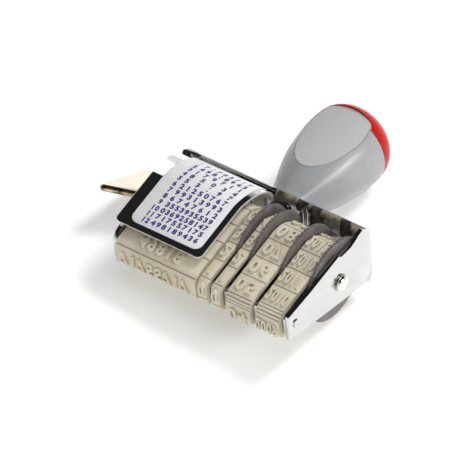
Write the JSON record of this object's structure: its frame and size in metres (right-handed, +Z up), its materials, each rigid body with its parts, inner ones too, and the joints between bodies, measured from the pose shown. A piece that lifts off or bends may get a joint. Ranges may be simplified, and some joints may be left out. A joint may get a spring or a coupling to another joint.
{
  "type": "rotary date stamp",
  "caption": "Handheld band dater: bent sheet frame, thumb wheels on one rod turning rubber bands over a type bar, phrase index plate and a moulded handle.",
  "frame": {"origin": "centre of the bounding box on the surface that the stamp lies on", "axes": "+Z up from that surface; +Y from the printing end towards the handle; +X from the phrase side to the year side"},
  "size_m": [0.0772, 0.0792, 0.0263],
  "materials": {
    "frame_chrome": "bright chrome plate",
    "plate_chrome": "bright chrome plate",
    "knob_nickel": "bright nickel plate, slightly warm",
    "rod_chrome": "bright chrome plate",
    "plain_steel": "zinc-bright steel",
    "label": "coated, numbered",
    "drum_plastic": "moulded, matt",
    "wheel_plastic": "moulded, matt, knurled rim",
    "band_rubber": "matt cream rubber with raised type",
    "handle_grey": "satin moulded plastic",
    "cap_red": "glossy moulded plastic"
  },
  "bodies": {
    "root": {"frame_shell": "frame_chrome", "type_bar": "plain_steel", "separator_lug": "frame_chrome", "index_plate": "plate_chrome", "index_label": "label", "plate_rivet_left": "plain_steel", "plate_rivet_right": "plain_steel", "thumb_turn_washer": "plain_steel", "left_spacer": "plain_steel", "right_thrust_washer": "plain_steel", "phrase_band": "band_rubber", "day_tens_band": "band_rubber", "day_units_band": "band_rubber", "month_band": "band_rubber", "year_band": "band_rubber", "handle_body": "handle_grey", "handle_cap": "cap_red", "handle_screw": "plain_steel", "handle_screw_washer": "plain_steel"},
    "phrase_drive": {"axle_rod": "rod_chrome", "phrase_drum": "drum_plastic", "phrase_drum_pin": "plain_steel", "thumb_turn": "knob_nickel", "thumb_turn_pin": "plain_steel"},
    "day_tens_dial": {"day_tens_wheel": "wheel_plastic"},
    "day_units_dial": {"day_units_wheel": "wheel_plastic"},
    "month_dial": {"month_wheel": "wheel_plastic"},
    "year_dial": {"year_wheel": "wheel_plastic"}
  },
  "joints": [
    {"name": "phrase_turn", "type": "hinge", "parent": "root", "child": "phrase_drive", "pos_m": [0.00615, -0.01534, 0.01191], "axis": [0.9972, -0.0002, 0.0751], "continuous": true},
    {"name": "day_tens_turn", "type": "hinge", "parent": "root", "child": "day_tens_dial", "pos_m": [0.00615, -0.01534, 0.01191], "axis": [0.9972, -0.0002, 0.0751], "continuous": true},
    {"name": "day_units_turn", "type": "hinge", "parent": "root", "child": "day_units_dial", "pos_m": [0.00615, -0.01534, 0.01191], "axis": [0.9972, -0.0002, 0.0751], "continuous": true},
    {"name": "month_turn", "type": "hinge", "parent": "root", "child": "month_dial", "pos_m": [0.00615, -0.01534, 0.01191], "axis": [0.9972, -0.0002, 0.0751], "continuous": true},
    {"name": "year_turn", "type": "hinge", "parent": "root", "child": "year_dial", "pos_m": [0.00615, -0.01534, 0.01191], "axis": [0.9972, -0.0002, 0.0751], "continuous": true}
  ]
}
